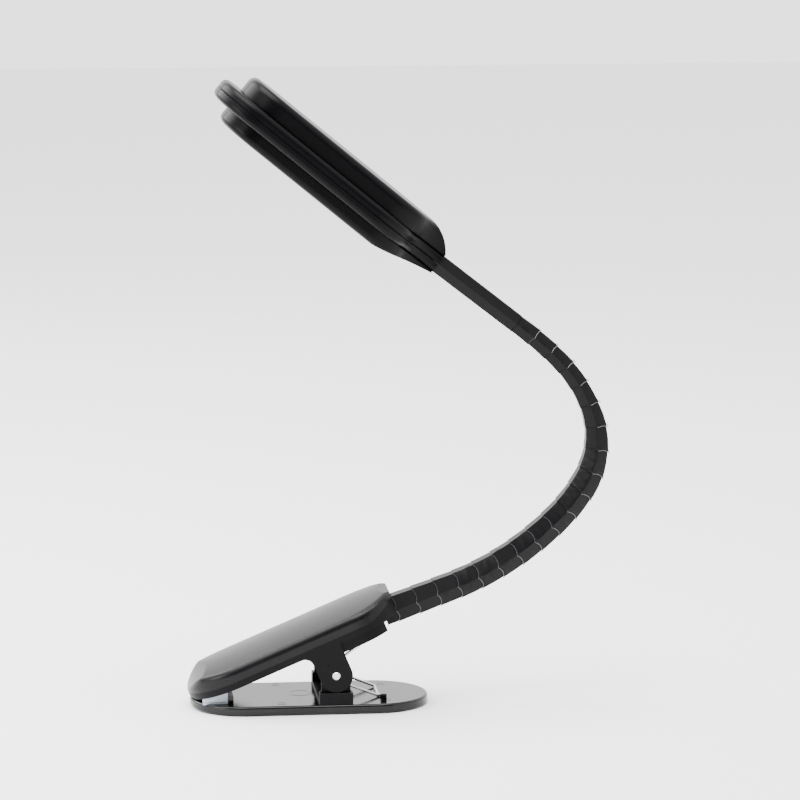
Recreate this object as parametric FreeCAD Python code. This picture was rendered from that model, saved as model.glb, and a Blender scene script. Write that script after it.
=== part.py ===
import FreeCAD, Part
import os
from math import acos, cos, degrees, radians, sin, sqrt

os.makedirs("parts", exist_ok=True)

# Clip-on reading lamp, millimetres. +Z is up, +X runs from the clip's mouth to the neck,
# and the origin is the middle of the lower plate's underside.

V = FreeCAD.Vector
X, Y, Z = V(1, 0, 0), V(0, 1, 0), V(0, 0, 1)

# ---- lower jaw ----
PLATE_LENGTH = 105.0
PLATE_WIDTH = 48.0
PLATE_THICKNESS = 4.1
PLATE_EDGE = 1.1
LUG_LENGTH = 14.6
LUG_THICKNESS = 2.4
LUG_TOP_RADIUS = 6.4
PIVOT_X = 10.3
PIVOT_HEIGHT = 16.8
PIN_RADIUS = 1.75
PIN_CLEARANCE = 0.05
PIN_PROUD = 0.35

# ---- upper jaw ----
JAW_LENGTH = 101.0
JAW_WIDTH = 46.0
JAW_SLOPE = 23.0
PIVOT_FROM_NOSE = 62.5
PIVOT_DROP = 15.6
COVER_HEIGHT = 7.6
CROWN_DROP = 2.0
COVER_ROUND = 3.2
NOSE_SLOPE = 24.0
NOSE_ROUND = 3.0
BASE_DEPTH = 3.0
BOX_LENGTH = 31.0
BOX_DEPTH = 7.7
BOX_AHEAD = 2.5
BOX_START = PIVOT_FROM_NOSE - BOX_AHEAD
BOX_END = BOX_START + BOX_LENGTH
BOX_INSET = 2.0
JAW_WALL = 1.6
END_RISE_LENGTH = 14.5
END_RISE = 4.4
END_WALL_STEP = 1.5
EAR_THICKNESS = 2.4
EAR_RADIUS = 7.2
EAR_ROOT_ROUND = 4.0

# ---- clearances ----
PART_GAP = 0.3
SEAT_GAP = 0.05

# ---- grip pads ----
PAD_FRONT = 5.0
PAD_LENGTH = 10.8
PAD_WIDTH = 32.0
LOWER_PAD_PROUD = 0.35
LOWER_PAD_DEPTH = 0.9
STOP_LENGTH = 2.2
STOP_HEIGHT = 3.2

# ---- spring ----
WIRE_RADIUS = 0.58
COIL_RADIUS = 4.1
COIL_TURNS = 4
COIL_PITCH = 1.24
COIL_SIDE_GAP = 0.87
LOOP_REACH = 19.6
LUG_INNER = JAW_WIDTH / 2 - EAR_THICKNESS - PART_GAP - LUG_THICKNESS
LEG_STEP = 2 * WIRE_RADIUS + 0.25
LOOP_HALF = LUG_INNER - COIL_SIDE_GAP - COIL_TURNS * COIL_PITCH - 2 * WIRE_RADIUS - LEG_STEP
UPPER_LEG_REACH = 15.0

# ---- things inside the jaw ----
BATTERY_START = 13.5
BATTERY_LENGTH = 44.0
BATTERY_WIDTH = 26.0
SCREW_EDGE = 6.2
SCREW_FROM_NOSE = (26.0, 54.0)
POST_WALL = 0.8
SUPPORT_RADIUS = 1.5
SUPPORT_SIDE = 10.0
SUPPORT_SPACING = 12.0
TOUCH_FROM_NOSE = 72.0
TOUCH_RADIUS = 6.0
TOUCH_POST_RADIUS = 2.0
TOUCH_THICKNESS = 0.5
BATTERY_THICKNESS = 4.6
BOARD_LENGTH = 24.0
BOARD_WIDTH = 24.0
BOARD_THICKNESS = 1.2
SOCKET_WIDTH = 9.0
SOCKET_HEIGHT = 3.2
SOCKET_DEPTH = 7.4
SCREW_RADIUS = 1.1
SCREW_HEAD_RADIUS = 2.0
SCREW_HEAD_HEIGHT = 1.1

# ---- neck: a chain of links on ball-shaped ends ----
LINK_COUNT = 19
LINK_PITCH = 9.8
LINK_BALL = 8.5
LINK_GAP = 0.3
NECK_HALF = 5.75
NECK_HALF_TOP = 4.0
TAPER_START = 110.0
TAPER_END = 148.0
LINK_STEP = 0.22
LINK_SECTIONS = 5
LINK_OVERRUN = 3.6
WIRE_BORE = 1.6
NECK_ROOT_BACK = 9.1
NECK_ROOT_DROP = 2.8
NECK_START_ANGLE = 19.5
NECK_RUNS = [(32.5, 0.5), (56.5, 25.0), (17.6, 12.9), (35.4, 52.7), (26.6, 23.9), (26.2, 9.7)]
COLLAR_LENGTH = 5.6
LIP_RADIUS = 8.8
LIP_DEPTH = 2.6

# ---- head ----
STEM_LENGTH = 51.5
STEM_ANGLE = 142.0
HEAD_TILT = 39.5
HEAD_LENGTH = 122.6
HEAD_HALF_WIDTH = 25.0
HEAD_NECK_HALF = 4.6
FLARE_RADIUS = 22.0
RIM_HALF = 4.4
RIM_ROUND = 2.6
RIM_WALL = 2.6
RIM_LEDGE_END = 8.7
RIM_LEDGE_SIDE = 4.5
BACK_HEIGHT = 8.7
BACK_ROUND = 3.4
BACK_RAMP = 20.5
LIGHT_HEIGHT = 6.7
LIGHT_ROUND = 3.0
LIGHT_RAMP = 31.0
SLAB_WALL = 1.6
GROOVE_DEPTH = 0.6
GROOVE_HEIGHT = 0.5
DIFFUSER_THICKNESS = 1.5
LENS_LENGTH = 74.0
LENS_HALF = 16.0
LED_ROWS = 2
LED_COLUMNS = 11
LED_SIZE = 2.8
LED_HEIGHT = 0.7

PLATE_TOP = PLATE_THICKNESS
CUT_MARGIN = 10.0


def save(name, shape):
    shape.exportStep("parts/" + name + ".step")


def stadium(length, width, low, high, start=0.0):
    # a bar with half-round ends, from start along X
    r = width / 2
    a, b = start + r, start + length - r
    edges = [
        Part.makeLine(V(a, -r, low), V(b, -r, low)),
        Part.Arc(V(b, -r, low), V(b + r, 0, low), V(b, r, low)).toShape(),
        Part.makeLine(V(b, r, low), V(a, r, low)),
        Part.Arc(V(a, r, low), V(a - r, 0, low), V(a, -r, low)).toShape(),
    ]
    return Part.Face(Part.Wire(edges)).extrude(V(0, 0, high - low))


def box(x0, x1, half, low, high):
    return Part.makeBox(x1 - x0, 2 * half, high - low, V(x0, -half, low))


def profile(points, half):
    # a closed outline in XZ, drawn out to both sides of the middle plane
    wire = Part.makePolygon([V(x, -half, z) for x, z in points + points[:1]])
    return Part.Face(wire).extrude(V(0, 2 * half, 0))


def edges_at(shape, height):
    # the edges that lie flat at one height
    return [
        e for e in shape.Edges
        if abs(e.BoundBox.ZMin - height) < 0.01 and abs(e.BoundBox.ZMax - height) < 0.01
    ]


def rod(start, end, radius):
    along = end.sub(start)
    return Part.makeCylinder(radius, along.Length, start, along)


# ---------------------------------------------------------------- the jaw's own frame
# local x runs from the nose along the jaw, local z is square to it, and z = 0 is the
# parting line between cover and base

JAW_TURN = FreeCAD.Rotation(Y, -JAW_SLOPE)
PIVOT = V(PIVOT_X, 0, PIVOT_HEIGHT)
JAW_PLACE = FreeCAD.Placement(
    PIVOT.sub(JAW_TURN.multVec(V(PIVOT_FROM_NOSE, 0, -PIVOT_DROP))), JAW_TURN
)


def in_jaw(shape):
    placed = shape.copy()
    placed.Placement = JAW_PLACE.multiply(placed.Placement)
    return placed


def jaw_point(along, up):
    return JAW_PLACE.multVec(V(along, 0, up))


def jaw_underside(x):
    # height of the base's underside above one place on the plate
    start = jaw_point(0, -BASE_DEPTH)
    return start.z + (x - start.x) * sin(radians(JAW_SLOPE)) / cos(radians(JAW_SLOPE))


# ---------------------------------------------------------------- the neck's line


def neck_point(run):
    # place and direction on the neck's middle line, run millimetres from its first ball
    here = jaw_point(JAW_LENGTH - NECK_ROOT_BACK, -NECK_ROOT_DROP)
    angle = NECK_START_ANGLE
    left = run
    for length, turn in NECK_RUNS:
        part = min(left, length)
        bend = turn * part / length
        middle = radians(angle + bend / 2)
        chord = part
        if abs(bend) > 0.001:
            radius = part / radians(bend)
            chord = 2 * radius * sin(radians(bend) / 2)
        here = here + V(chord * cos(middle), 0, chord * sin(middle))
        angle += bend
        left -= part
        if left <= 0:
            return here, angle
    last = radians(angle)
    return here + V(left * cos(last), 0, left * sin(last)), angle


def neck_half(run):
    share = (run - TAPER_START) / (TAPER_END - TAPER_START)
    share = min(1.0, max(0.0, share))
    return NECK_HALF + (NECK_HALF_TOP - NECK_HALF) * share


BALLS = [neck_point(i * LINK_PITCH)[0] for i in range(LINK_COUNT + 1)]


def along_placement(point, direction):
    # local z along the neck, local y across the lamp
    angle = degrees(acos(max(-1.0, min(1.0, direction.normalize().z))))
    if direction.x < 0:
        angle = -angle
    return FreeCAD.Placement(point, FreeCAD.Rotation(Y, angle))


def six_sided(half_low, half_high, low, high):
    # a six-sided bar with a ridge along each side of the lamp
    wires = []
    for half, level in ((half_low, low), (half_high, high)):
        corner = half / cos(radians(30))
        ring = [
            V(corner * cos(radians(30 + 60 * k)), corner * sin(radians(30 + 60 * k)), level)
            for k in range(6)
        ]
        wires.append(Part.makePolygon(ring + ring[:1]))
    return Part.makeLoft(wires, True, True)


# ---------------------------------------------------------------- lower jaw


def lower_jaw_plate():
    plate = stadium(PLATE_LENGTH, PLATE_WIDTH, 0, PLATE_TOP, -PLATE_LENGTH / 2)
    plate = plate.makeFillet(PLATE_EDGE, edges_at(plate, 0) + edges_at(plate, PLATE_TOP))
    nose = -PLATE_LENGTH / 2
    lift = PLATE_THICKNESS / 2
    corners = [(nose - 1, -1), (nose + 3 * lift, -1), (nose + 2.5 * lift, 0), (nose - 1, lift)]
    chamfer = profile(corners, PLATE_WIDTH)
    plate = plate.cut(chamfer)
    pad_x = pad_start()
    pocket = box(
        pad_x - SEAT_GAP, pad_x + PAD_LENGTH + SEAT_GAP, PAD_WIDTH / 2 + SEAT_GAP,
        PLATE_TOP + LOWER_PAD_PROUD - LOWER_PAD_DEPTH, PLATE_TOP + CUT_MARGIN,
    )
    plate = plate.cut(pocket)
    stop_x = pad_x + PAD_LENGTH + PART_GAP
    stop = box(stop_x, stop_x + STOP_LENGTH, PAD_WIDTH / 2, PLATE_TOP - 1, PLATE_TOP + STOP_HEIGHT)
    hook_x = PIVOT_X + LOOP_REACH + WIRE_RADIUS
    hook = Part.makeBox(2.6, 6.0, 1 + 2.5, V(hook_x, -LOOP_HALF - 5.0, PLATE_TOP - 1))
    return plate.fuse([stop, hook]).removeSplitter()


def pad_start():
    return jaw_point(PAD_FRONT, -BASE_DEPTH).x


def lug(side):
    # one upright of the hinge bracket: a wide foot at the plate's edge and a thinner
    # round-topped tongue behind the upper jaw's ear
    inner = LUG_INNER
    foot_top = PIVOT_HEIGHT - EAR_RADIUS - PART_GAP
    half = LUG_LENGTH / 2
    foot = Part.makeBox(
        LUG_LENGTH, PLATE_WIDTH / 2 - PLATE_EDGE * 0.4 - inner, foot_top - PLATE_TOP,
        V(PIVOT_X - half, inner, PLATE_TOP),
    )
    tongue = Part.makeBox(
        2 * LUG_TOP_RADIUS, LUG_THICKNESS, PIVOT_HEIGHT - foot_top,
        V(PIVOT_X - LUG_TOP_RADIUS, inner, foot_top),
    )
    top = Part.makeCylinder(LUG_TOP_RADIUS, LUG_THICKNESS, V(PIVOT_X, inner, PIVOT_HEIGHT), Y)
    body = foot.fuse([tongue, top]).removeSplitter()
    bore = Part.makeCylinder(PIN_RADIUS, PLATE_WIDTH, V(PIVOT_X, 0, PIVOT_HEIGHT), Y)
    body = body.cut(bore)
    if side < 0:
        body = body.mirror(V(0, 0, 0), Y)
    return body


def lower_jaw_bracket():
    # both uprights and the strap that ties them together across the plate
    strap = box(PIVOT_X - LUG_LENGTH / 2, PIVOT_X + LUG_LENGTH / 2, LUG_INNER, PLATE_TOP, PLATE_TOP + 1.2)
    return strap.fuse([lug(1), lug(-1)]).removeSplitter()


def pivot_pin():
    half = JAW_WIDTH / 2 + PIN_PROUD
    pin = Part.makeCylinder(PIN_RADIUS, 2 * half, V(PIVOT_X, -half, PIVOT_HEIGHT), Y)
    return pin.makeChamfer(0.3, [e for e in pin.Edges if e.Closed and len(e.Vertexes) == 1])


def lower_grip_pad():
    x0 = pad_start()
    low = PLATE_TOP + LOWER_PAD_PROUD - LOWER_PAD_DEPTH
    return box(x0, x0 + PAD_LENGTH, PAD_WIDTH / 2, low, PLATE_TOP + LOWER_PAD_PROUD)


def coil(side):
    # close turns of wire on the pin, from the loop's leg outwards
    first = LOOP_HALF + COIL_PITCH
    return [
        Part.makeTorus(COIL_RADIUS, WIRE_RADIUS, V(PIVOT_X, side * (first + k * COIL_PITCH), PIVOT_HEIGHT), Y)
        for k in range(COIL_TURNS)
    ]


def torsion_spring():
    # two coils on the pin, joined by a long loop that presses on the plate
    floor = PLATE_TOP + WIRE_RADIUS
    end = V(PIVOT_X + LOOP_REACH, 0, floor)
    drop = PIVOT_HEIGHT - floor
    reach = sqrt(LOOP_REACH ** 2 + drop ** 2)
    lean = acos(COIL_RADIUS / reach) + acos(drop / reach)
    tangent = lean - 2 * acos(drop / reach)
    start = V(PIVOT_X - COIL_RADIUS * sin(tangent), 0, PIVOT_HEIGHT - COIL_RADIUS * cos(tangent))
    solids = []
    for side in (1, -1):
        shift = V(0, side * LOOP_HALF, 0)
        solids.append(rod(start + shift, end + shift, WIRE_RADIUS))
        solids.append(Part.makeSphere(WIRE_RADIUS, end + shift))
        solids.append(Part.makeSphere(WIRE_RADIUS, start + shift))
    bar = rod(end - V(0, LOOP_HALF, 0), end + V(0, LOOP_HALF, 0), WIRE_RADIUS)
    loop = bar.fuse(solids)
    return Part.makeCompound([loop] + coil(1) + coil(-1))


def spring_upper_legs():
    # the two free ends, which press up under the upper jaw's box
    y = LOOP_HALF + WIRE_RADIUS + COIL_TURNS * COIL_PITCH + LEG_STEP
    touch = -BOX_DEPTH - WIRE_RADIUS
    legs = []
    for side in (1, -1):
        start = V(PIVOT_FROM_NOSE, side * y, -PIVOT_DROP + COIL_RADIUS)
        end = V(PIVOT_FROM_NOSE + UPPER_LEG_REACH, side * y, touch)
        leg = rod(start, end, WIRE_RADIUS).fuse(Part.makeSphere(WIRE_RADIUS, end))
        legs.append(leg)
    return in_jaw(Part.makeCompound(legs))


# ---------------------------------------------------------------- upper jaw


def jaw_outside(inset=0.0, roundness=0.0):
    # the whole rounded jaw before it is split: nose low and drawn out, back crowned
    low = -BASE_DEPTH + inset
    top = COVER_HEIGHT - inset
    blank = stadium(JAW_LENGTH - 2 * inset, JAW_WIDTH - 2 * inset, low, top + 1, inset)
    half = JAW_WIDTH / 2 - inset
    crown = (half ** 2 + CROWN_DROP ** 2) / (2 * CROWN_DROP)
    arch = Part.makeCylinder(crown, JAW_LENGTH + 2 * CUT_MARGIN, V(-CUT_MARGIN, 0, top - crown), X)
    nose = Part.Arc(V(inset, 0, 1.2), V(6.0 + inset, 0, top - 2.2), V(NOSE_SLOPE, 0, top)).toShape()
    tail_x = JAW_LENGTH - 12.0
    crest, foot = V(tail_x + 8.0, 0, top - 0.7), V(JAW_LENGTH - inset, 0, top - 2.4)
    tail = Part.Arc(V(tail_x, 0, top), crest, foot).toShape()
    ends = [
        nose,
        Part.makeLine(V(NOSE_SLOPE, 0, top), V(tail_x, 0, top)),
        tail,
        Part.makeLine(V(JAW_LENGTH - inset, 0, top - 2.4), V(JAW_LENGTH - inset, 0, low - 1)),
        Part.makeLine(V(JAW_LENGTH - inset, 0, low - 1), V(inset, 0, low - 1)),
        Part.makeLine(V(inset, 0, low - 1), V(inset, 0, 1.2)),
    ]
    side = Part.Face(Part.Wire(ends))
    side.translate(V(0, -JAW_WIDTH, 0))
    side = side.extrude(V(0, 2 * JAW_WIDTH, 0))
    body = blank.common(arch)
    if roundness:
        rim = [e for e in body.Edges if e.BoundBox.ZMin > low + 1.0]
        body = body.makeFillet(roundness, rim).common(side)
        front = [f for f in body.Faces if f.BoundBox.XMax < 0.6 * NOSE_SLOPE and f.BoundBox.ZMax > top - 1]
        return body.makeFillet(NOSE_ROUND, [e for f in front for e in f.Edges])
    return body.common(side)


def above_parting(shift=0.0):
    kink = JAW_LENGTH - END_RISE_LENGTH
    slope = END_RISE / (END_RISE_LENGTH - 2.0)
    far = JAW_LENGTH + CUT_MARGIN
    points = [
        (-CUT_MARGIN, shift), (kink, shift), (far, shift + slope * (far - kink)),
        (far, COVER_HEIGHT + CUT_MARGIN), (-CUT_MARGIN, COVER_HEIGHT + CUT_MARGIN),
    ]
    return profile(points, JAW_WIDTH)


def box_outside(inset=0.0):
    edge = BOX_INSET + inset
    low = -BOX_DEPTH + inset
    blank = stadium(JAW_LENGTH - 2 * edge, JAW_WIDTH - 2 * edge, low, 0, edge)
    return blank.common(box(BOX_START + inset, BOX_END - inset, JAW_WIDTH, low, 0))


def jaw_screw_spots():
    edge = JAW_WIDTH / 2 - SCREW_EDGE
    return [(along, across) for along in SCREW_FROM_NOSE for across in (edge, -edge)]


def cavity():
    room = jaw_outside(JAW_WALL).fuse(box_outside(JAW_WALL))
    posts = []
    for x, y in jaw_screw_spots():
        foot = V(x, y, -2 * COVER_HEIGHT)
        posts.append(Part.makeCylinder(SCREW_HEAD_RADIUS + POST_WALL, 4 * COVER_HEIGHT, foot))
    wall_start = JAW_LENGTH - END_RISE_LENGTH + END_WALL_STEP
    end_wall = box(wall_start, JAW_LENGTH + 1, JAW_WIDTH, -2 * BOX_DEPTH, COVER_HEIGHT)
    return room.cut(end_wall.fuse(posts))


def head_seats():
    return Part.makeCompound([
        Part.makeCylinder(SCREW_HEAD_RADIUS + SEAT_GAP, SCREW_HEAD_HEIGHT + 1, V(x, y, -BASE_DEPTH - 1))
        for x, y in jaw_screw_spots()
    ])


def screw_space():
    top = 2.4
    return Part.makeCompound([
        Part.makeCylinder(SCREW_RADIUS + SEAT_GAP, top + BASE_DEPTH + 1, V(x, y, -BASE_DEPTH - 1))
        for x, y in jaw_screw_spots()
    ])


def ears():
    # two plates square to the jaw that carry it on the pin
    solids = []
    for side in (1, -1):
        low = JAW_WIDTH / 2 - EAR_THICKNESS if side > 0 else -JAW_WIDTH / 2
        plate = Part.makeBox(
            2 * EAR_RADIUS, EAR_THICKNESS, PIVOT_DROP - BASE_DEPTH + 1.0,
            V(PIVOT_FROM_NOSE - EAR_RADIUS, low, -PIVOT_DROP),
        )
        foot = Part.makeCylinder(EAR_RADIUS, EAR_THICKNESS, V(PIVOT_FROM_NOSE, low, -PIVOT_DROP), Y)
        r = EAR_ROOT_ROUND
        back = PIVOT_FROM_NOSE - EAR_RADIUS - r
        corner = Part.makeBox(r, EAR_THICKNESS, r + 0.5, V(back, low, -BASE_DEPTH - r))
        scoop = Part.makeCylinder(r, 3 * EAR_THICKNESS, V(back, low - EAR_THICKNESS, -BASE_DEPTH - r), Y)
        solids += [plate, foot, corner.cut(scoop)]
    body = solids[0].fuse(solids[1:])
    start = V(PIVOT_FROM_NOSE, -JAW_WIDTH, -PIVOT_DROP)
    return body.cut(Part.makeCylinder(PIN_RADIUS + PIN_CLEARANCE, 2 * JAW_WIDTH, start, Y))


def dimple():
    x = PIVOT_FROM_NOSE - 0.9
    z = -PIVOT_DROP + 5.7
    return Part.makeCompound([
        Part.makeSphere(1.0, V(x, side * (JAW_WIDTH / 2 + 0.65), z)) for side in (1, -1)
    ])


def socket_block(clearance):
    end = BOX_END
    middle = -(BOX_DEPTH + BASE_DEPTH) / 2
    return box(
        end - SOCKET_DEPTH, end + (1 if clearance else -0.2), SOCKET_WIDTH / 2 + clearance,
        middle - SOCKET_HEIGHT / 2 - clearance, middle + SOCKET_HEIGHT / 2 + clearance,
    )


def neck_collar():
    # the fixed first piece of the neck, set into the jaw's end
    first, second = BALLS[0], BALLS[1]
    place = along_placement(first, second.sub(first))
    wall = sqrt(LINK_BALL ** 2 - NECK_HALF ** 2)
    bar = six_sided(NECK_HALF, NECK_HALF, wall - COLLAR_LENGTH, LINK_BALL + 1)
    bar = bar.common(Part.makeSphere(LINK_BALL))
    bar = bar.cut(Part.makeCylinder(WIRE_BORE, 4 * LINK_BALL, V(0, 0, -LINK_BALL)))
    bar.Placement = place
    return bar


def collar_space():
    first, second = BALLS[0], BALLS[1]
    place = along_placement(first, second.sub(first))
    wall = sqrt(LINK_BALL ** 2 - NECK_HALF ** 2)
    bar = six_sided(NECK_HALF, NECK_HALF, wall - COLLAR_LENGTH, 3 * LINK_BALL)
    bore = Part.makeCylinder(WIRE_BORE, 3 * LINK_BALL, V(0, 0, -1.5 * LINK_BALL))
    bar = bar.fuse(bore)
    bar.Placement = place
    return bar


def first_link_space():
    # room for the first link to swing at the jaw's end, with a round dish for its lip
    place = along_placement(BALLS[0], BALLS[1].sub(BALLS[0]))
    wall = sqrt(LINK_BALL ** 2 - NECK_HALF ** 2)
    room = Part.makeCylinder(3 * NECK_HALF, 3 * LINK_BALL, V(0, 0, wall - 0.4))
    lip = Part.makeCylinder(LIP_RADIUS, 3 * LINK_BALL, V(0, 0, wall - LIP_DEPTH))
    room = room.fuse(lip)
    room.Placement = place
    return room


def nose_flat():
    # the biting face stays clear of the lower pad
    top = PLATE_TOP + LOWER_PAD_PROUD + PART_GAP
    return box(-PLATE_LENGTH, 0, PLATE_WIDTH, -CUT_MARGIN, top)


def upper_jaw_base():
    body = jaw_outside().cut(above_parting())
    body = body.fuse([box_outside(), ears()])
    body = body.cut(cavity()).cut(screw_space()).cut(head_seats()).cut(dimple())
    body = body.cut(socket_block(0.15))
    body = in_jaw(body)
    body = body.cut(collar_space()).cut(first_link_space()).cut(nose_flat())
    return biggest(body)


def upper_jaw_cover():
    body = jaw_outside(0.0, COVER_ROUND).common(above_parting())
    body = body.cut(cavity()).cut(screw_space())
    body = in_jaw(body).cut(collar_space()).cut(first_link_space())
    return biggest(body)


def biggest(shape):
    solids = sorted(shape.Solids, key=lambda s: s.Volume)
    return solids[-1]


def upper_grip_pad():
    # a soft wedge that fills the mouth, flat below and seated on the sloping base
    x0 = pad_start()
    x1 = x0 + PAD_LENGTH
    low = PLATE_TOP + LOWER_PAD_PROUD + PART_GAP
    points = [(x0, low), (x1, low), (x1, jaw_underside(x1)), (x0, jaw_underside(x0))]
    return profile(points, PAD_WIDTH / 2)


def battery():
    low = -BASE_DEPTH + JAW_WALL
    post = SCREW_HEAD_RADIUS + POST_WALL
    half = min(BATTERY_WIDTH / 2, JAW_WIDTH / 2 - SCREW_EDGE - post - PART_GAP)
    return in_jaw(box(BATTERY_START, BATTERY_START + BATTERY_LENGTH, half, low, low + BATTERY_THICKNESS))


def control_board():
    end = BOX_END
    low = -(BOX_DEPTH + BASE_DEPTH) / 2 + SOCKET_HEIGHT / 2
    x1 = end - JAW_WALL - 2.4
    return in_jaw(box(x1 - BOARD_LENGTH, x1, BOARD_WIDTH / 2, low, low + BOARD_THICKNESS))


def board_supports():
    # spacers between the box's floor and the board
    end = BOX_END
    low = -BOX_DEPTH + JAW_WALL
    high = -(BOX_DEPTH + BASE_DEPTH) / 2 + SOCKET_HEIGHT / 2
    x1 = end - JAW_WALL - BOARD_LENGTH + 3.0
    rows = (x1, x1 + SUPPORT_SPACING)
    spots = [(x, y) for x in rows for y in (SUPPORT_SIDE, -SUPPORT_SIDE)]
    return in_jaw(Part.makeCompound([
        Part.makeCylinder(SUPPORT_RADIUS, high - low, V(x, y, low)) for x, y in spots
    ]))


def charging_socket():
    shell = socket_block(0)
    end = BOX_END
    middle = -(BOX_DEPTH + BASE_DEPTH) / 2
    mouth = box(
        end - SOCKET_DEPTH + 1.0, end + 1, SOCKET_WIDTH / 2 - 0.35,
        middle - SOCKET_HEIGHT / 2 + 0.35, middle + SOCKET_HEIGHT / 2 - 0.35,
    )
    tongue = box(end - SOCKET_DEPTH + 1.0, end - 1.0, SOCKET_WIDTH / 2 - 1.4, middle - 0.35, middle + 0.35)
    return in_jaw(shell.cut(mouth).fuse(tongue))


def touch_plate():
    # the sensing foil stuck under the cover, with its foam post down to the board
    low = -(BOX_DEPTH + BASE_DEPTH) / 2 + SOCKET_HEIGHT / 2 + BOARD_THICKNESS
    high = COVER_HEIGHT - JAW_WALL - 0.9
    disc = Part.makeCylinder(TOUCH_RADIUS, TOUCH_THICKNESS, V(TOUCH_FROM_NOSE, 0, high))
    post = Part.makeCylinder(TOUCH_POST_RADIUS, high - low, V(TOUCH_FROM_NOSE, 0, low))
    return in_jaw(disc.fuse(post))


def jaw_screws():
    screws = []
    for x, y in jaw_screw_spots():
        head = Part.makeCylinder(SCREW_HEAD_RADIUS, SCREW_HEAD_HEIGHT, V(x, y, -BASE_DEPTH))
        head = head.cut(Part.makeCylinder(0.9, 0.6, V(x, y, -BASE_DEPTH - 0.01)))
        length = BASE_DEPTH + 2.2 - SCREW_HEAD_HEIGHT
        shank = Part.makeCylinder(SCREW_RADIUS, length, V(x, y, -BASE_DEPTH + SCREW_HEAD_HEIGHT))
        screws.append(head.fuse(shank))
    return in_jaw(Part.makeCompound(screws))


# ---------------------------------------------------------------- neck


def neck_sleeve(start, end, half_start, half_end):
    # a six-sided length of neck that follows the curve
    wires = []
    for k in range(LINK_SECTIONS):
        share = k / (LINK_SECTIONS - 1)
        run = start + (end - start) * share
        point, angle = neck_point(run)
        half = neck_half(run) + half_start + (half_end - half_start) * share
        corner = half / cos(radians(30))
        place = FreeCAD.Placement(point, FreeCAD.Rotation(Y, 90 - angle))
        ring = [
            place.multVec(V(corner * cos(radians(30 + 60 * n)), corner * sin(radians(30 + 60 * n)), 0))
            for n in range(6)
        ]
        wires.append(Part.makePolygon(ring + ring[:1]))
    return Part.makeLoft(wires, True, True)


def neck_link(number):
    # hollow below on one ball and round above for the next
    low, high = BALLS[number - 1], BALLS[number]
    start = (number - 1) * LINK_PITCH + LINK_OVERRUN
    end = number * LINK_PITCH + LINK_BALL + 1.0
    bar = neck_sleeve(start, end, LINK_STEP, -LINK_STEP)
    bar = bar.common(Part.makeSphere(LINK_BALL, high))
    bar = bar.cut(Part.makeSphere(LINK_BALL + LINK_GAP, low))
    bore = Part.makeCylinder(WIRE_BORE, 4 * LINK_BALL, V(0, 0, -2 * LINK_BALL))
    bore.Placement = along_placement(high, high.sub(low))
    return biggest(bar.cut(bore))


STEM_DIRECTION = V(cos(radians(STEM_ANGLE)), 0, sin(radians(STEM_ANGLE)))
HEAD_START = BALLS[-1] + STEM_DIRECTION * STEM_LENGTH
HEAD_PLACE = FreeCAD.Placement(
    HEAD_START, FreeCAD.Rotation(Y, HEAD_TILT).multiply(FreeCAD.Rotation(Z, 180))
)


def in_head(shape):
    placed = shape.copy()
    placed.Placement = HEAD_PLACE.multiply(placed.Placement)
    return placed


def stem_bar():
    bar = six_sided(NECK_HALF_TOP, NECK_HALF_TOP + 0.15, 0.0, STEM_LENGTH + 3.0)
    bar.Placement = along_placement(BALLS[-1], V(STEM_DIRECTION))
    return bar


def neck_stem():
    bar = stem_bar()
    bar = bar.cut(Part.makeSphere(LINK_BALL + LINK_GAP, BALLS[-1]))
    bore = Part.makeCylinder(WIRE_BORE, 4 * STEM_LENGTH, BALLS[-1] - STEM_DIRECTION, STEM_DIRECTION)
    return bar.cut(bore)


# ---------------------------------------------------------------- head


def racket(half_width, neck_half_width, end, low, high, start=0.0):
    # a long tongue that flares from the neck with two opposite arcs and ends rounded
    r = FLARE_RADIUS
    rise = half_width - neck_half_width
    turn = acos(1 - rise / (2 * r))
    run = 2 * r * sin(turn)
    mid_x = start + run / 2
    mid_y = neck_half_width + rise / 2
    quarter = turn / 2
    a = V(start, neck_half_width, low)
    a_mid = V(start + r * sin(quarter), neck_half_width + r * (1 - cos(quarter)), low)
    b = V(mid_x, mid_y, low)
    b_mid = V(start + run - r * sin(quarter), half_width - r * (1 - cos(quarter)), low)
    c = V(start + run, half_width, low)
    tip = half_width * 0.86
    d = V(end - tip, half_width, low)
    e_mid = V(end - tip + tip * sin(radians(45)), half_width * 0.14 + tip * cos(radians(45)), low)
    e = V(end, half_width * 0.14, low)

    def flip(p):
        return V(p.x, -p.y, p.z)

    edges = [
        Part.Arc(a, a_mid, b).toShape(),
        Part.Arc(b, b_mid, c).toShape(),
        Part.makeLine(c, d),
        Part.Arc(d, e_mid, e).toShape(),
        Part.makeLine(e, flip(e)),
        Part.Arc(flip(e), flip(e_mid), flip(d)).toShape(),
        Part.makeLine(flip(d), flip(c)),
        Part.Arc(flip(c), flip(b_mid), flip(b)).toShape(),
        Part.Arc(flip(b), flip(a_mid), flip(a)).toShape(),
        Part.makeLine(flip(a), a),
    ]
    return Part.Face(Part.Wire(edges)).extrude(V(0, 0, high - low))


def head_screw_spots():
    return [(34.0, 13.0), (34.0, -13.0), (96.0, 13.0), (96.0, -13.0)]


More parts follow.
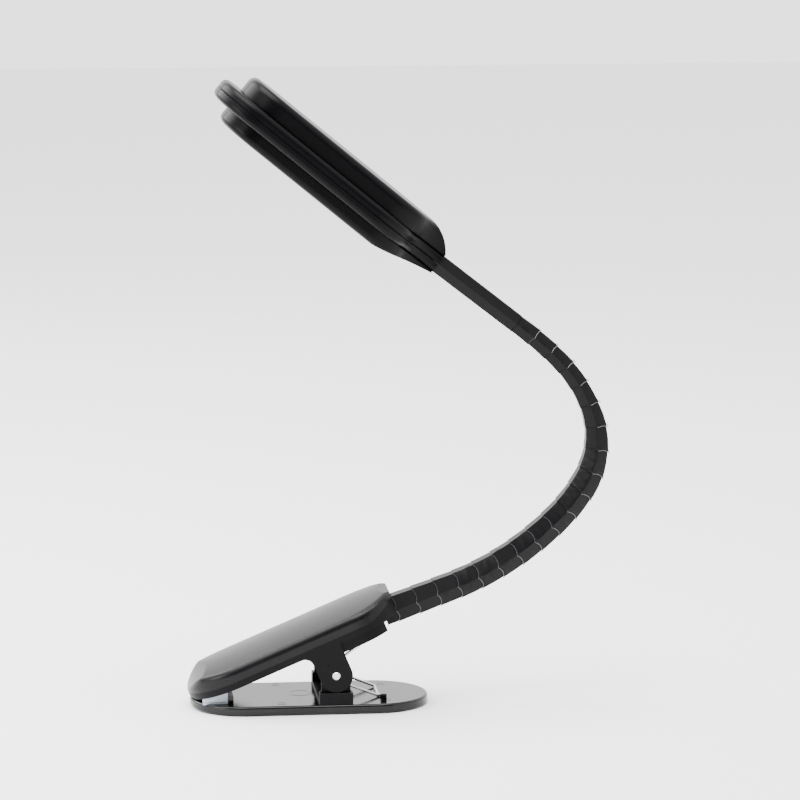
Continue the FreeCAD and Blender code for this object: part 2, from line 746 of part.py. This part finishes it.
def rim_half(side):
    # one half of the flat frame between the two covers, with a rounded outer edge
    shape = racket(HEAD_HALF_WIDTH, HEAD_NECK_HALF, HEAD_LENGTH, 0, RIM_HALF)
    outer = [e for e in edges_at(shape, RIM_HALF) if e.BoundBox.XMax > 1.0]
    shape = shape.makeFillet(RIM_ROUND, outer)
    inner_edges = [e for e in edges_at(shape, 0) if e.BoundBox.XMax > 1.0]
    shape = shape.makeChamfer(0.35, inner_edges)
    pocket = racket(
        HEAD_HALF_WIDTH - RIM_LEDGE_SIDE - RIM_WALL, HEAD_NECK_HALF, HEAD_LENGTH - RIM_LEDGE_END - RIM_WALL,
        -1, RIM_HALF - 1.4, 14.0,
    )
    posts = [Part.makeCylinder(3.0, 4 * RIM_HALF, V(x, y, -2 * RIM_HALF)) for x, y in head_screw_spots()]
    spots = [V(x, y, -2 * RIM_HALF) for x, y in head_screw_spots()]
    holes = [Part.makeCylinder(SCREW_RADIUS + SEAT_GAP, 4 * RIM_HALF, spot) for spot in spots]
    shape = shape.cut(pocket.cut(Part.makeCompound(posts))).cut(Part.makeCompound(holes))
    if side < 0:
        shape = shape.mirror(V(0, 0, 0), Z)
    return in_head(shape).cut(stem_bar())


def slab(height, roundness, end, half_width):
    inner, tip = half_width - GROOVE_DEPTH, end - GROOVE_DEPTH
    foot = racket(inner, HEAD_NECK_HALF - GROOVE_DEPTH - 0.3, tip, 0, GROOVE_HEIGHT)
    body = racket(half_width, HEAD_NECK_HALF - 0.3, end, GROOVE_HEIGHT, height)
    edges = [e for e in edges_at(body, height) if e.BoundBox.XMax > 1.0]
    body = body.makeFillet(roundness, edges)
    return body.fuse(foot)


def slab_room(height, end, half_width):
    # the hollow inside a cover
    wall = SLAB_WALL + GROOVE_DEPTH
    return racket(half_width - wall, HEAD_NECK_HALF, end - wall, -1, height, 24.0)


def ramp_curve(height):
    # side view of the back cover: it rises from the neck as a quarter ellipse
    start = V(0, 0, GROOVE_HEIGHT)
    mid = V(BACK_RAMP * (1 - cos(radians(45))), 0, height * sin(radians(45)))
    top = V(BACK_RAMP, 0, height)
    return start, mid, top


def head_back_cover():
    end = HEAD_LENGTH - RIM_LEDGE_END
    half = HEAD_HALF_WIDTH - RIM_LEDGE_SIDE
    body = slab(BACK_HEIGHT, BACK_ROUND, end, half)
    start, mid, top = ramp_curve(BACK_HEIGHT)
    arc = Part.Arc(start, mid, top).toShape()
    corner = V(-CUT_MARGIN, 0, GROOVE_HEIGHT)
    high = V(-CUT_MARGIN, 0, BACK_HEIGHT + CUT_MARGIN)
    high_top = V(BACK_RAMP, 0, BACK_HEIGHT + CUT_MARGIN)
    outline = [
        arc, Part.makeLine(top, high_top), Part.makeLine(high_top, high),
        Part.makeLine(high, corner), Part.makeLine(corner, start),
    ]
    waste = Part.Face(Part.Wire(outline))
    waste.translate(V(0, -2 * HEAD_HALF_WIDTH, 0))
    body = body.cut(waste.extrude(V(0, 4 * HEAD_HALF_WIDTH, 0)))
    body = body.cut(slab_room(BACK_HEIGHT - SLAB_WALL, end, half))
    body.translate(V(0, 0, RIM_HALF))
    return biggest(in_head(body).cut(stem_bar()))


def head_light_housing():
    end = HEAD_LENGTH - RIM_LEDGE_END
    half = HEAD_HALF_WIDTH - RIM_LEDGE_SIDE
    body = slab(LIGHT_HEIGHT, LIGHT_ROUND, end, half)
    waste = profile([
        (-CUT_MARGIN, GROOVE_HEIGHT), (0, GROOVE_HEIGHT), (LIGHT_RAMP, LIGHT_HEIGHT),
        (LIGHT_RAMP, LIGHT_HEIGHT + CUT_MARGIN), (-CUT_MARGIN, LIGHT_HEIGHT + CUT_MARGIN),
    ], 2 * HEAD_HALF_WIDTH)
    body = body.cut(waste)
    body = body.cut(window(SEAT_GAP, -1, LIGHT_HEIGHT + 1))
    body.translate(V(0, 0, RIM_HALF))
    body = body.mirror(V(0, 0, 0), Z)
    return biggest(in_head(body).cut(stem_bar()))


def window(clearance, low, high):
    # the lit area, round-cornered, between the ramp and the far end
    x1 = HEAD_LENGTH - RIM_LEDGE_END - 4.6
    x0 = x1 - LENS_LENGTH
    half = LENS_HALF + clearance
    block = box(x0 - clearance, x1 + clearance, half, low, high)
    upright = [e for e in block.Edges if abs(e.BoundBox.ZLength - (high - low)) < 0.01]
    return block.makeFillet(9.0, upright)


def light_diffuser():
    top = LIGHT_HEIGHT - 0.3
    body = window(0, top - DIFFUSER_THICKNESS, top)
    body.translate(V(0, 0, RIM_HALF))
    return in_head(body.mirror(V(0, 0, 0), Z))


def light_frame_ring():
    # white reflector wall that carries the diffuser on the board
    low = BOARD_THICKNESS
    high = LIGHT_HEIGHT - 0.3 - DIFFUSER_THICKNESS
    x1 = HEAD_LENGTH - RIM_LEDGE_END - 4.6
    body = window(0, low, high)
    inner = box(x1 - LENS_LENGTH + 2.0, x1 - 2.0, LENS_HALF - 2.0, low - 1, high + 1)
    upright = [e for e in inner.Edges if abs(e.BoundBox.ZLength - (high - low + 2)) < 0.01]
    body = body.cut(inner.makeFillet(7.0, upright))
    body.translate(V(0, 0, RIM_HALF))
    return in_head(body.mirror(V(0, 0, 0), Z))


def led_board():
    body = window(0, 0, BOARD_THICKNESS)
    body.translate(V(0, 0, RIM_HALF))
    return in_head(body.mirror(V(0, 0, 0), Z))


def led_chips():
    x1 = HEAD_LENGTH - RIM_LEDGE_END - 4.6
    margin = 8.0
    step = (LENS_LENGTH - 2 * margin) / (LED_COLUMNS - 1)
    chips = []
    for row in range(LED_ROWS):
        y = (row - (LED_ROWS - 1) / 2) * LENS_HALF
        for column in range(LED_COLUMNS):
            x = x1 - margin - column * step
            chips.append(Part.makeBox(
                LED_SIZE, LED_SIZE, LED_HEIGHT,
                V(x - LED_SIZE / 2, y - LED_SIZE / 2, RIM_HALF + BOARD_THICKNESS),
            ))
    group = Part.makeCompound(chips)
    return in_head(group.mirror(V(0, 0, 0), Z))


def driver_board():
    body = box(46.0, 90.0, 11.0, RIM_HALF + SEAT_GAP, RIM_HALF + SEAT_GAP + BOARD_THICKNESS)
    return in_head(body)


def head_screws():
    screws = []
    low = -RIM_HALF + 0.3
    high = RIM_HALF - 0.05
    for x, y in head_screw_spots():
        screws.append(Part.makeCylinder(SCREW_RADIUS, high - low, V(x, y, low)))
    return in_head(Part.makeCompound(screws))


# ---------------------------------------------------------------- build

save("lower_jaw_plate", lower_jaw_plate())
save("lower_jaw_bracket", lower_jaw_bracket())
save("jaw_pivot_pin", pivot_pin())
save("lower_grip_pad", lower_grip_pad())
save("torsion_spring", torsion_spring())
save("spring_upper_legs", spring_upper_legs())
save("upper_jaw_base", upper_jaw_base())
save("upper_jaw_cover", upper_jaw_cover())
save("upper_grip_pad", upper_grip_pad())
save("battery", battery())
save("control_board", control_board())
save("board_supports", board_supports())
save("charging_socket", charging_socket())
save("touch_plate", touch_plate())
save("jaw_screws", jaw_screws())
save("neck_collar", neck_collar())
for number in range(1, LINK_COUNT + 1):
    save("neck_link_%02d" % number, neck_link(number))
save("neck_stem", neck_stem())
save("head_frame_back", rim_half(1))
save("head_frame_front", rim_half(-1))
save("head_back_cover", head_back_cover())
save("head_light_housing", head_light_housing())
save("light_diffuser", light_diffuser())
save("light_frame_ring", light_frame_ring())
save("led_board", led_board())
save("led_chips", led_chips())
save("driver_board", driver_board())
save("head_screws", head_screws())
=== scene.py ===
from math import atan2, cos, hypot, radians, sin, sqrt

import bpy
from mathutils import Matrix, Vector


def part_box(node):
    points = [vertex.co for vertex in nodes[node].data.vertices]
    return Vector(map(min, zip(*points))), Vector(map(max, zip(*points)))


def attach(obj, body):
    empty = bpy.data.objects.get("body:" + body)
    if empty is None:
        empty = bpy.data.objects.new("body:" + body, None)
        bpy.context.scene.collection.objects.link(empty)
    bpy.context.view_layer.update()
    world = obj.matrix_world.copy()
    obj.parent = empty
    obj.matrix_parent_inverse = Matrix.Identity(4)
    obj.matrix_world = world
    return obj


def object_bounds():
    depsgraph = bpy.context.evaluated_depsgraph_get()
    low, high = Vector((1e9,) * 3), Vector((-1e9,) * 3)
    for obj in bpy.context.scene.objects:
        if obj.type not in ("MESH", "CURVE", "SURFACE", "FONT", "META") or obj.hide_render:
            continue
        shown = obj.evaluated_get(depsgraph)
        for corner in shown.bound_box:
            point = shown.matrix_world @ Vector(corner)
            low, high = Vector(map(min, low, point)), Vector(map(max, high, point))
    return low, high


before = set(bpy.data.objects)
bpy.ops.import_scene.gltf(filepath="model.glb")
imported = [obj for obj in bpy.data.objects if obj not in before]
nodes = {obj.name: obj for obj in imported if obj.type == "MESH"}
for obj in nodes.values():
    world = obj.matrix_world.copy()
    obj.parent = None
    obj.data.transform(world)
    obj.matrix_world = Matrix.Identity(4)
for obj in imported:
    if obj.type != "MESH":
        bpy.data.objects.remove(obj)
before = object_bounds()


# ---- Jaw plastics ----
# The bracket and the lower half of the upper jaw are moulded in one dark, fine-grained
# ABS, straight from a spark-eroded tool, so their faces are faintly uneven and half matt.

DRIFT_SIZE = 60.0
GRAIN_SIZE = 900.0
GRAIN_DEPTH = 0.0002
SHARP_CORNER = radians(28)
WELD_DISTANCE = 0.000002


def moulded_plastic(name, colour, roughness, grain, shine=0.35):
    """A moulded plastic: one colour with a little drift, and a fine grain in its surface."""
    material = bpy.data.materials.new(name)
    material.use_nodes = True
    tree = material.node_tree
    shader = tree.nodes["Principled BSDF"]
    place = tree.nodes.new("ShaderNodeTexCoord")
    drift = tree.nodes.new("ShaderNodeTexNoise")
    drift.inputs["Scale"].default_value = DRIFT_SIZE
    drift.inputs["Detail"].default_value = 3.0
    tree.links.new(place.outputs["Object"], drift.inputs["Vector"])
    tint = tree.nodes.new("ShaderNodeMix")
    tint.data_type = "RGBA"
    tint.inputs["A"].default_value = (*[c * 0.9 for c in colour], 1.0)
    tint.inputs["B"].default_value = (*[min(1.0, c * 1.12) for c in colour], 1.0)
    tree.links.new(drift.outputs["Fac"], tint.inputs["Factor"])
    tree.links.new(tint.outputs["Result"], shader.inputs["Base Color"])
    gloss = tree.nodes.new("ShaderNodeMapRange")
    gloss.inputs["To Min"].default_value = roughness - 0.04
    gloss.inputs["To Max"].default_value = roughness + 0.05
    tree.links.new(drift.outputs["Fac"], gloss.inputs["Value"])
    tree.links.new(gloss.outputs["Result"], shader.inputs["Roughness"])
    pits = tree.nodes.new("ShaderNodeTexNoise")
    pits.inputs["Scale"].default_value = GRAIN_SIZE
    pits.inputs["Detail"].default_value = 2.0
    tree.links.new(place.outputs["Object"], pits.inputs["Vector"])
    bump = tree.nodes.new("ShaderNodeBump")
    bump.inputs["Strength"].default_value = grain
    bump.inputs["Distance"].default_value = GRAIN_DEPTH
    tree.links.new(pits.outputs["Fac"], bump.inputs["Height"])
    tree.links.new(bump.outputs["Normal"], shader.inputs["Normal"])
    shader.inputs["Specular IOR Level"].default_value = shine
    return material


def finish_nodes(material, *names):
    """Gives CAD nodes one finish."""
    for name in names:
        piece = nodes[name]
        piece.data.materials.clear()
        piece.data.materials.append(material)


def soften(width, *names):
    """Breaks a moulded piece's sharp edges by a small round."""
    for name in names:
        piece = nodes[name]
        weld = piece.modifiers.new("weld", "WELD")
        weld.merge_threshold = WELD_DISTANCE
        edge = piece.modifiers.new("edge", "BEVEL")
        edge.width = width
        edge.segments = 2
        edge.limit_method = "ANGLE"
        edge.angle_limit = SHARP_CORNER


jaw_dark = moulded_plastic("jaw_dark", (0.0035, 0.0035, 0.004), 0.40, 0.10, shine=0.08)
finish_nodes(jaw_dark, "upper_jaw_base", "lower_jaw_bracket")
soften(0.00035, "lower_jaw_bracket")


# ---- Lower plate ----
# The plate that the lamp stands on is the same ABS with a polished top, which mirrors
# the clip above it.

plate_gloss = moulded_plastic("plate_gloss", (0.0035, 0.0035, 0.004), 0.12, 0.02, shine=0.27)
finish_nodes(plate_gloss, "lower_jaw_plate")


# ---- Ejector marks ----
# Faint witness rings where the mould's round pins pushed the plate out, in the same
# glossy plastic and hardly proud of it.

PLATE_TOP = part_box("lower_jaw_bracket")[0][2]
RING_WIRE = 0.00022
RING_FLATNESS = 0.4
PIN_RADIUS = 0.0018
SPRUE_RADIUS = 0.0048


def witness_ring(name, x, y, radius):
    """A ring that stands a hair above the plate."""
    bpy.ops.object.select_all(action="DESELECT")
    bpy.ops.mesh.primitive_torus_add(
        location=(0.0, 0.0, 0.0), major_radius=radius, minor_radius=RING_WIRE,
        major_segments=48, minor_segments=8,
    )
    ring = bpy.context.active_object
    ring.name = name
    for vertex in ring.data.vertices:
        vertex.co.x += x
        vertex.co.y += y
        vertex.co.z = vertex.co.z * RING_FLATNESS + PLATE_TOP
    ring.data.materials.append(plate_gloss)
    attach(ring, "lower_jaw")


witness_ring("ejector_mark_near", -0.0133, -0.0185, PIN_RADIUS)
witness_ring("ejector_mark_far", -0.0133, 0.0185, PIN_RADIUS)
witness_ring("ejector_mark_middle", -0.0040, 0.0010, SPRUE_RADIUS)
witness_ring("ejector_mark_tail_near", 0.0330, -0.0150, PIN_RADIUS)
witness_ring("ejector_mark_tail_far", 0.0330, 0.0150, PIN_RADIUS)


# ---- Upper cover ----
# The egg-shaped cover over the battery is a satin moulding in the same dark grey.

cover_satin = moulded_plastic("cover_satin", (0.004, 0.004, 0.0045), 0.27, 0.04, shine=0.16)
finish_nodes(cover_satin, "upper_jaw_cover")


# ---- Grip pads ----
# Two soft silicone pads face each other in the mouth.

silicone = moulded_plastic("silicone", (0.42, 0.47, 0.53), 0.55, 0.05)
rubber = silicone.node_tree.nodes["Principled BSDF"]
rubber.inputs["Subsurface Weight"].default_value = 0.25
rubber.inputs["Subsurface Scale"].default_value = 0.003
finish_nodes(silicone, "lower_grip_pad", "upper_grip_pad")


# ---- Pin, spring and screws ----
# Drawn spring wire and a turned pin in bright steel, and zinc-plated screws.

DRAWING_MARKS = 1500.0


def bright_metal(name, colour, roughness):
    """A bare metal with fine drawing marks."""
    material = bpy.data.materials.new(name)
    material.use_nodes = True
    tree = material.node_tree
    shader = tree.nodes["Principled BSDF"]
    shader.inputs["Base Color"].default_value = (*colour, 1.0)
    shader.inputs["Metallic"].default_value = 1.0
    place = tree.nodes.new("ShaderNodeTexCoord")
    marks = tree.nodes.new("ShaderNodeTexNoise")
    marks.inputs["Scale"].default_value = DRAWING_MARKS
    tree.links.new(place.outputs["Object"], marks.inputs["Vector"])
    spread = tree.nodes.new("ShaderNodeMapRange")
    spread.inputs["To Min"].default_value = roughness - 0.05
    spread.inputs["To Max"].default_value = roughness + 0.08
    tree.links.new(marks.outputs["Fac"], spread.inputs["Value"])
    tree.links.new(spread.outputs["Result"], shader.inputs["Roughness"])
    return material


spring_steel = bright_metal("spring_steel", (0.62, 0.62, 0.62), 0.24)
zinc = bright_metal("zinc", (0.40, 0.40, 0.42), 0.35)
finish_nodes(spring_steel, "jaw_pivot_pin", "torsion_spring", "spring_upper_legs")
finish_nodes(zinc, "jaw_screws", "head_screws")


# ---- Inside the upper jaw ----
# A foil-wrapped pouch cell, the control board on its spacers, the charging socket and
# the sensing plate under the cover.

foil = bright_metal("cell_foil", (0.55, 0.57, 0.60), 0.40)
board_green = moulded_plastic("board_green", (0.02, 0.13, 0.05), 0.35, 0.04)
socket_shell = bright_metal("socket_shell", (0.50, 0.50, 0.50), 0.28)
natural_nylon = moulded_plastic("natural_nylon", (0.60, 0.60, 0.56), 0.45, 0.03)
finish_nodes(foil, "battery")
finish_nodes(board_green, "control_board", "driver_board")
finish_nodes(socket_shell, "charging_socket")
finish_nodes(natural_nylon, "board_supports", "touch_plate")


# ---- Neck ----
# Short six-sided links in satin black plastic, each hollow on the ball of the one
# before, and a plain stem that carries the head.

neck_black = moulded_plastic("neck_black", (0.0035, 0.0035, 0.004), 0.32, 0.08, shine=0.10)
links = sorted(name for name in nodes if name.startswith("neck_link_"))
finish_nodes(neck_black, "neck_collar", "neck_stem", *links)
soften(0.00045, "neck_collar", *links)


# ---- Link lips ----
# The mouth of each link is a moulded lip on the ball of the one before. A thin ring of
# lighter, glossier plastic runs round each lip as a painted highlight for the fine bright
# line its edge catches, slimmer on the inner side.

# Lighter and glossier than the neck: the painted highlight along each lip.
lip_highlight_paint = moulded_plastic("lip_highlight_paint", (0.07, 0.07, 0.075), 0.25, 0.02, shine=0.6)
NECK_ROOT = (0.03236, 0.04007, radians(19.5))
NECK_RUNS = [
    (0.0325, radians(0.5)), (0.0565, radians(25.0)), (0.0176, radians(12.9)),
    (0.0354, radians(52.7)), (0.0266, radians(23.9)), (0.0262, radians(9.7)),
]
LINK_PITCH = 0.0098
LINKS_PER_BODY = 3
LAST_BODY = 6
CUP_RADIUS = 0.0088
LIP_WIRE = 0.00016
LIP_PROUD = 0.0002
INNER_HIGHLIGHT_SCALE = 0.4
TAPER_START = 0.110
TAPER_LENGTH = 0.038
HALF_AT_FOOT = 0.00575
HALF_AT_TOP = 0.0040
HALF_FACET = radians(30)
OUTER_HALF = radians(92)


def neck_line(run):
    """Place and direction on the neck's middle line, as it is at rest."""
    x, z, angle = NECK_ROOT
    for length, turn in NECK_RUNS:
        if run <= 0.0:
            break
        part = min(run, length)
        bend = turn * part / length
        middle = angle + bend / 2
        chord = part * sin(bend / 2) / (bend / 2)
        x += chord * cos(middle)
        z += chord * sin(middle)
        angle += bend
        run -= part
    return (x, z), angle


def neck_half(run):
    """Half the neck's width across its flats, which narrows towards the head."""
    share = min(1.0, max(0.0, (run - TAPER_START) / TAPER_LENGTH))
    return HALF_AT_FOOT + (HALF_AT_TOP - HALF_AT_FOOT) * share


def link_lip(number, body):
    """A fine line along the edge where one link's cup meets its six flat sides, lighter than
    the neck as a painted highlight.
    """
    here, angle = neck_line((number - 1) * LINK_PITCH)
    half = neck_half((number - 1) * LINK_PITCH + CUP_RADIUS) + LIP_PROUD
    bpy.ops.object.select_all(action="DESELECT")
    bpy.ops.mesh.primitive_torus_add(
        location=(0.0, 0.0, 0.0), major_radius=half, minor_radius=LIP_WIRE,
        major_segments=60, minor_segments=6,
    )
    lip = bpy.context.active_object
    lip.name = "link_lip_%02d" % number
    for vertex in lip.data.vertices:
        turn = atan2(vertex.co.y, vertex.co.x)
        # The ring is slimmer on the inner side, so the painted highlight shows mostly on the
        # outer facets.
        highlight_scale = 1.0 if abs(turn) < OUTER_HALF else INNER_HIGHLIGHT_SCALE
        out = (hypot(vertex.co.x, vertex.co.y) - half) * highlight_scale
        side = (turn + HALF_FACET) % (2 * HALF_FACET) - HALF_FACET
        reach = half / cos(side)
        along = sqrt(CUP_RADIUS ** 2 - reach ** 2) + vertex.co.z * highlight_scale + LIP_WIRE
        across = (reach + out) * cos(turn)
        vertex.co = (
            here[0] + across * sin(angle) + along * cos(angle),
            (reach + out) * sin(turn),
            here[1] - across * cos(angle) + along * sin(angle),
        )
    bpy.ops.object.shade_smooth()
    lip.data.materials.append(lip_highlight_paint)
    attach(lip, body)


for number in range(1, len(links) + 1):
    group = min(LAST_BODY, (number - 1) // LINKS_PER_BODY + 1)
    link_lip(number, "neck_part_%d" % group)


# ---- Head ----
# Two thin frame halves between a back cover and a light housing, all satin black.

head_black = moulded_plastic("head_black", (0.0022, 0.0022, 0.0026), 0.30, 0.06, shine=0.07)
finish_nodes(head_black, "head_frame_back", "head_frame_front")
finish_nodes(head_black, "head_back_cover", "head_light_housing")


# ---- Light ----
# Rows of small white chips on a white board, a white reflector wall and an opal sheet.

opal = moulded_plastic("opal", (0.86, 0.87, 0.87), 0.30, 0.01)
white_plastic = moulded_plastic("white_plastic", (0.84, 0.84, 0.83), 0.40, 0.02)
phosphor = moulded_plastic("phosphor", (0.85, 0.72, 0.25), 0.30, 0.02)
finish_nodes(opal, "light_diffuser")
finish_nodes(white_plastic, "light_frame_ring", "led_board")
finish_nodes(phosphor, "led_chips")


# ---- Studio ----
# A pale floor in a white room, with soft lights overhead, at the left and behind. A dark
# card in front, unseen itself, keeps the black plastics from turning grey.

def soft_light(name, place, aim, size, power):
    """A square soft box turned to face one point."""
    bpy.ops.object.light_add(type="AREA", location=place)
    lamp = bpy.context.active_object
    lamp.name = name
    lamp.data.size = size
    lamp.data.energy = power
    lamp.rotation_euler = (Vector(place) - Vector(aim)).to_track_quat("Z", "Y").to_euler()


FLOOR_GAP = 0.0002
CARD_WIDTH = 4.0
CARD_HEIGHT = 2.4
CARD_PLACE = -2.4
bpy.ops.object.select_all(action="DESELECT")
bpy.ops.mesh.primitive_plane_add(size=6.0, location=(0.0, 0.0, before[0][2] - FLOOR_GAP))
floor = bpy.context.active_object
floor.name = "floor"
pale = bpy.data.materials.new("pale_floor")
pale.use_nodes = True
paint = pale.node_tree.nodes["Principled BSDF"]
paint.inputs["Base Color"].default_value = (0.88, 0.88, 0.88, 1.0)
paint.inputs["Roughness"].default_value = 0.7
floor.data.materials.append(pale)

bpy.ops.mesh.primitive_plane_add(size=1.0, location=(0.0, 0.0, 0.0))
card = bpy.context.active_object
card.name = "dark_card"
for vertex in card.data.vertices:
    height = (vertex.co.y + 0.5) * CARD_HEIGHT
    vertex.co = Vector((vertex.co.x * CARD_WIDTH, CARD_PLACE, height))
shade = bpy.data.materials.new("card_black")
shade.use_nodes = True
cloth = shade.node_tree.nodes["Principled BSDF"]
cloth.inputs["Base Color"].default_value = (0.02, 0.02, 0.02, 1.0)
card.data.materials.append(shade)
card.visible_camera = False

room = bpy.data.worlds.new("white_room")
room.use_nodes = True
room.node_tree.nodes["Background"].inputs["Color"].default_value = (1.0, 1.0, 1.0, 1.0)
room.node_tree.nodes["Background"].inputs["Strength"].default_value = 2.5
bpy.context.scene.world = room

middle = Vector((0.04, 0.0, 0.135))
soft_light("top_light", (-0.1, -0.1, 1.1), middle, 0.8, 26.0)
soft_light("left_light", (-0.9, -0.5, 0.5), middle, 0.5, 7.0)
soft_light("back_light", (-0.8, 0.6, 0.85), middle, 0.9, 22.0)

AZIMUTH = radians(5.8)
ELEVATION = radians(9.5)
DISTANCE = 2.0
AIM = (0.0404, 0.0, 0.1345)
look = Vector((sin(AZIMUTH) * cos(ELEVATION), cos(AZIMUTH) * cos(ELEVATION), -sin(ELEVATION)))
eye = Vector(AIM) - look * DISTANCE
bpy.ops.object.camera_add(location=eye)
camera = bpy.context.active_object
camera.rotation_euler = (-look).to_track_quat("Z", "Y").to_euler()
camera.data.lens = 206.0
camera.data.sensor_width = 36.0
camera.data.clip_start = 0.01
bpy.context.scene.camera = camera
